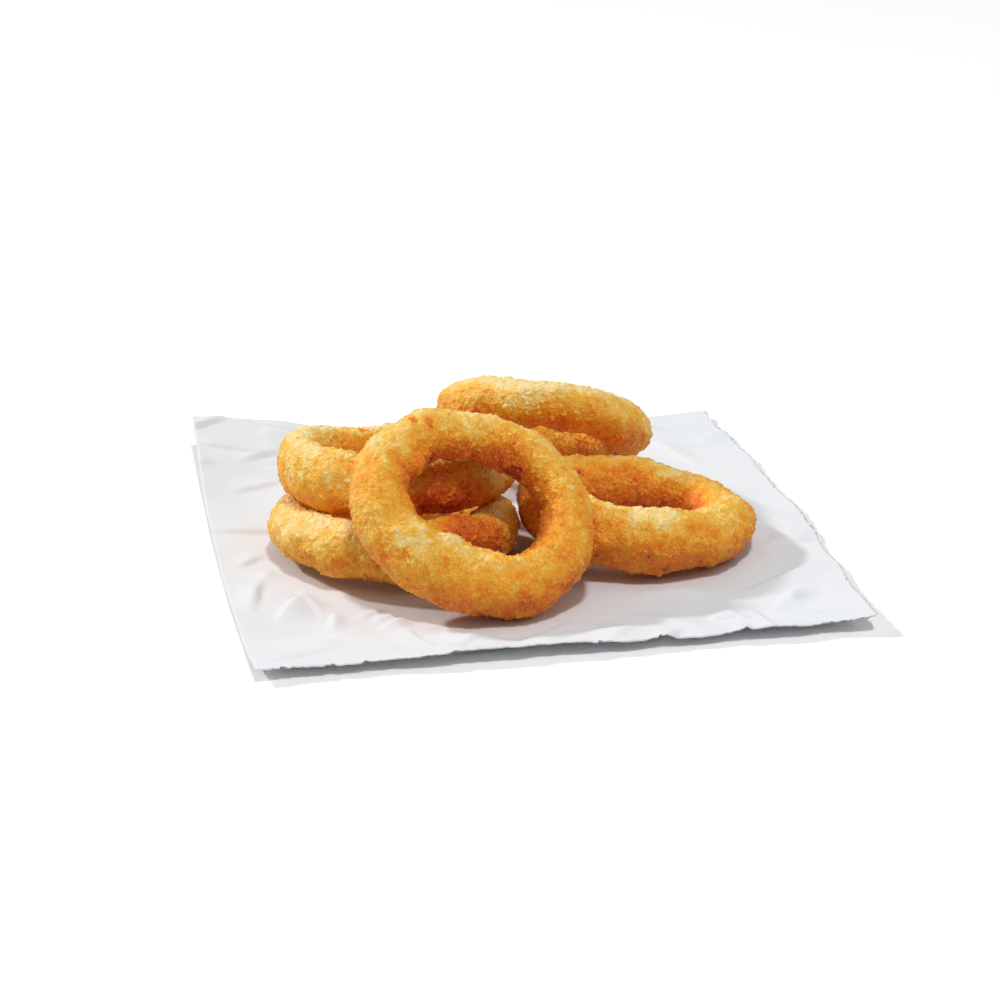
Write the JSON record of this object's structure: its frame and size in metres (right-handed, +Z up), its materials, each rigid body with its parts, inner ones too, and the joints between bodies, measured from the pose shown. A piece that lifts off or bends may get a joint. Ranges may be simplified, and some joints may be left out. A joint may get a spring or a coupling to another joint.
{
  "type": "onion rings side",
  "caption": "Crumbed onion rings in a loose pile on a torn, slightly curled sheet of white paper.",
  "frame": {"origin": "on the floor, under the middle of the sheet of paper", "axes": "+Z up, +Y along the sheet's longer side towards the back, +X to the right"},
  "size_m": [0.174, 0.188, 0.0489],
  "materials": {
    "white_paper": "matt, slightly translucent white paper",
    "fried_crust": "coarse golden breadcrumb crust with a little oil on it"
  },
  "bodies": {
    "root": {"paper_sheet": "white_paper", "ring_left_bottom": "fried_crust", "ring_left_top": "fried_crust", "ring_right": "fried_crust", "ring_back": "fried_crust", "ring_front": "fried_crust"}
  },
  "joints": []
}
